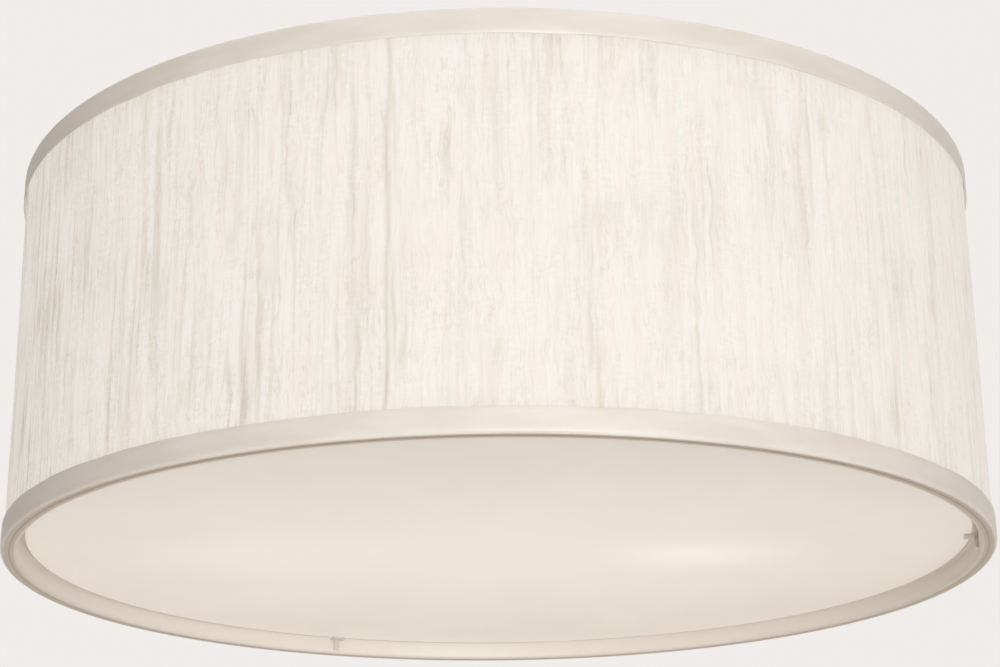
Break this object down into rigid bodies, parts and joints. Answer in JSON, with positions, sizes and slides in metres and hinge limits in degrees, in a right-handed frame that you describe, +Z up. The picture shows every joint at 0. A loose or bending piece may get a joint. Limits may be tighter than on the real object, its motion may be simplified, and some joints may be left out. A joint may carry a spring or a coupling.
{
  "type": "flush mount ceiling light",
  "caption": "Round flush mount ceiling light: crinkled fabric drum shade with satin trims, opal diffuser on clips, screw-base bulbs and a steel ceiling pan.",
  "frame": {"origin": "centre of the light on the plane of the ceiling", "axes": "+Z up into the ceiling, +X along the right-hand bulb, -Y towards the side the picture was taken from"},
  "size_m": [0.4063, 0.4064, 0.1628],
  "materials": {
    "zinc_plated_steel": "satin, zinc plated",
    "white_enamel": "semi-gloss baked enamel",
    "brass": "satin",
    "green_ground_screw": "dyed zinc plate",
    "tinned_copper": "tinned",
    "green_insulation": "smooth",
    "green_plastic": "moulded",
    "orange_plastic": "moulded",
    "black_insulation": "smooth",
    "white_insulation": "smooth",
    "glass_fibre_pad": "loose fibre",
    "styrene_liner": "smooth white sheet",
    "crinkled_silk": "crinkled, upright pleats",
    "satin_tape": "soft satin",
    "opal_acrylic": "frosted, lets light through",
    "phenolic": "moulded",
    "soft_white_glass": "inside coated white",
    "bulb_cap_aluminium": "rolled sheet",
    "black_glass": "fused",
    "clear_glass": "clear",
    "tungsten": "drawn wire"
  },
  "bodies": {
    "fixture": {"mounting_strap": "zinc_plated_steel", "strap_ground_screw": "green_ground_screw", "ground_terminal": "tinned_copper", "ground_lead": "green_insulation", "ground_wire_nut": "green_plastic", "pan_studs": "zinc_plated_steel", "stud_lock_nuts": "zinc_plated_steel", "cap_nuts": "brass", "ceiling_pan": "white_enamel", "insulation_pad": "glass_fibre_pad", "threaded_nipple": "zinc_plated_steel", "upper_lock_washer": "zinc_plated_steel", "upper_nipple_nut": "zinc_plated_steel", "lower_lock_washer": "zinc_plated_steel", "lower_nipple_nut": "zinc_plated_steel", "spider_hub": "zinc_plated_steel", "spider_arms": "zinc_plated_steel", "top_ring": "zinc_plated_steel", "bottom_ring": "zinc_plated_steel", "shade_liner": "styrene_liner", "shade_fabric": "crinkled_silk", "top_trim": "satin_tape", "bottom_trim": "satin_tape", "right_diffuser_clip": "zinc_plated_steel", "far_diffuser_clip": "zinc_plated_steel", "near_diffuser_clip": "zinc_plated_steel", "socket_bracket": "zinc_plated_steel", "socket_screws": "zinc_plated_steel", "right_socket_body": "phenolic", "left_socket_body": "phenolic", "right_screw_shell": "brass", "left_screw_shell": "brass", "right_centre_contact": "brass", "left_centre_contact": "brass", "right_hot_lead": "black_insulation", "right_neutral_lead": "white_insulation", "left_hot_lead": "black_insulation", "left_neutral_lead": "white_insulation", "hot_wire_nut": "orange_plastic", "neutral_wire_nut": "orange_plastic"},
    "diffuser": {"diffuser": "opal_acrylic"},
    "right_bulb_tip": {"right_bulb_contact": "tinned_copper"},
    "right_bulb": {"right_bulb_glass": "soft_white_glass", "right_bulb_cap": "bulb_cap_aluminium", "right_bulb_insulator": "black_glass", "right_bulb_stem": "clear_glass", "right_bulb_support_wires": "zinc_plated_steel", "right_bulb_filament": "tungsten"},
    "left_bulb_tip": {"left_bulb_contact": "tinned_copper"},
    "left_bulb": {"left_bulb_glass": "soft_white_glass", "left_bulb_cap": "bulb_cap_aluminium", "left_bulb_insulator": "black_glass", "left_bulb_stem": "clear_glass", "left_bulb_support_wires": "zinc_plated_steel", "left_bulb_filament": "tungsten"}
  },
  "joints": [
    {"name": "right_bulb_travel", "type": "slide", "parent": "fixture", "child": "right_bulb_tip", "axis": [1, 0, 0], "range_m": [0, 0.01824]},
    {"name": "right_bulb_turn", "type": "hinge", "parent": "right_bulb_tip", "child": "right_bulb", "pos_m": [0.0993, 0, -0.067], "axis": [1, 0, 0], "range_deg": [0, 1800]},
    {"name": "left_bulb_travel", "type": "slide", "parent": "fixture", "child": "left_bulb_tip", "axis": [-1, 0, 0], "range_m": [0, 0.01824]},
    {"name": "left_bulb_turn", "type": "hinge", "parent": "left_bulb_tip", "child": "left_bulb", "pos_m": [-0.0993, 0, -0.067], "axis": [-1, 0, 0], "range_deg": [0, 1800]},
    {"name": "diffuser_lift", "type": "slide", "parent": "fixture", "child": "diffuser", "axis": [0, 0, 1], "range_m": [0, 0.045]}
  ],
  "couplings": [
    {"joint": "right_bulb_travel", "follows": "right_bulb_turn", "m_per_rad": 0.00057757},
    {"joint": "left_bulb_travel", "follows": "left_bulb_turn", "m_per_rad": 0.00057757}
  ]
}
